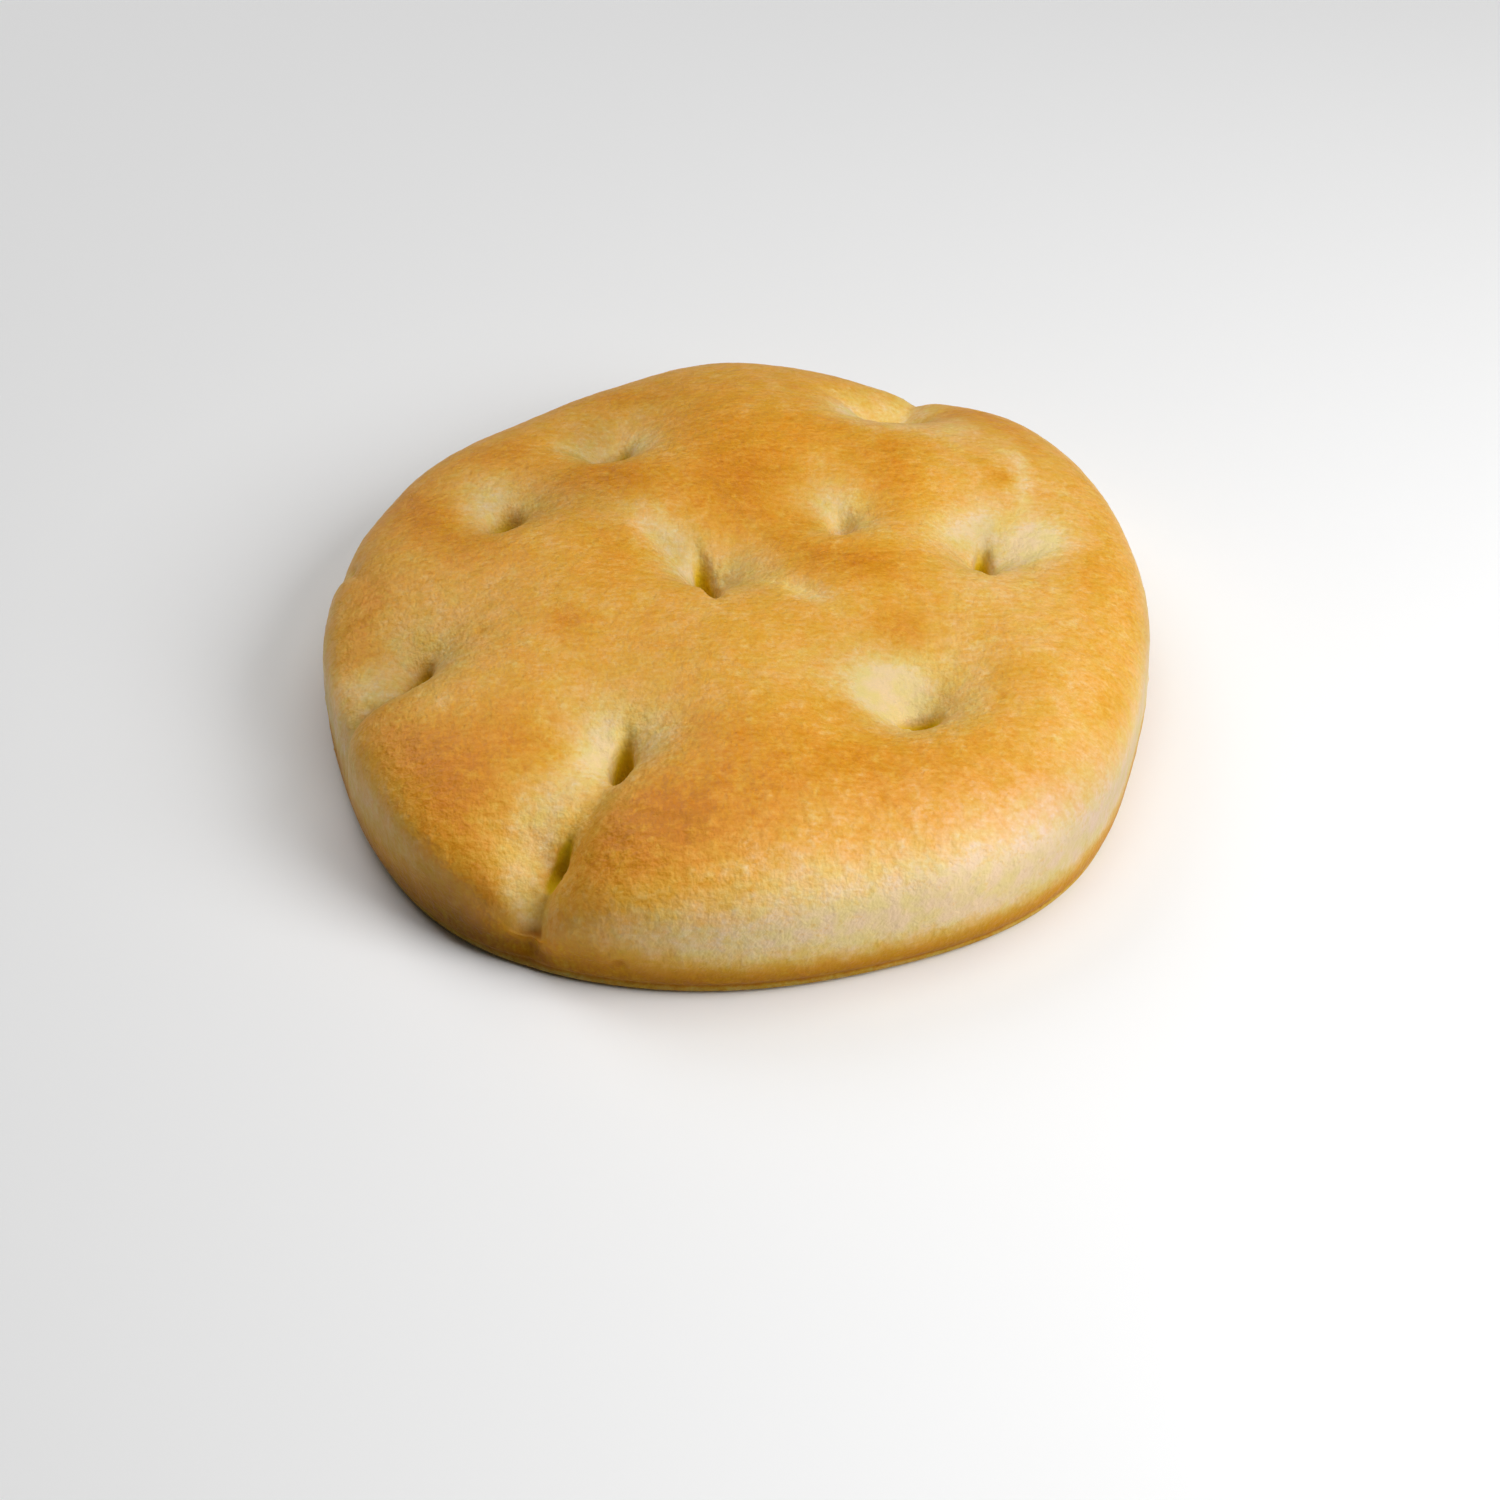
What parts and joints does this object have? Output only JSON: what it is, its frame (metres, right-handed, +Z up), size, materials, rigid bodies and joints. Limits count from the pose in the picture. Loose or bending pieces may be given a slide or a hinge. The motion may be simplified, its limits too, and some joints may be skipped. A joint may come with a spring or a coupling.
{
  "type": "focaccia",
  "caption": "Round flat bread loaf with a domed golden crust, soft pale sides and finger dimples with narrow holes.",
  "frame": {"origin": "middle of the flat base, at the centre of the outline's bounding box", "axes": "+Z up out of the crown, -Y towards the front, where the longest crease runs over the edge"},
  "size_m": [0.146, 0.1534, 0.0306],
  "materials": {
    "crust": "satin baked crust, golden brown on top, pale straw in the finger dimples and on the sides"
  },
  "bodies": {
    "root": {"focaccia": "crust"}
  },
  "joints": []
}
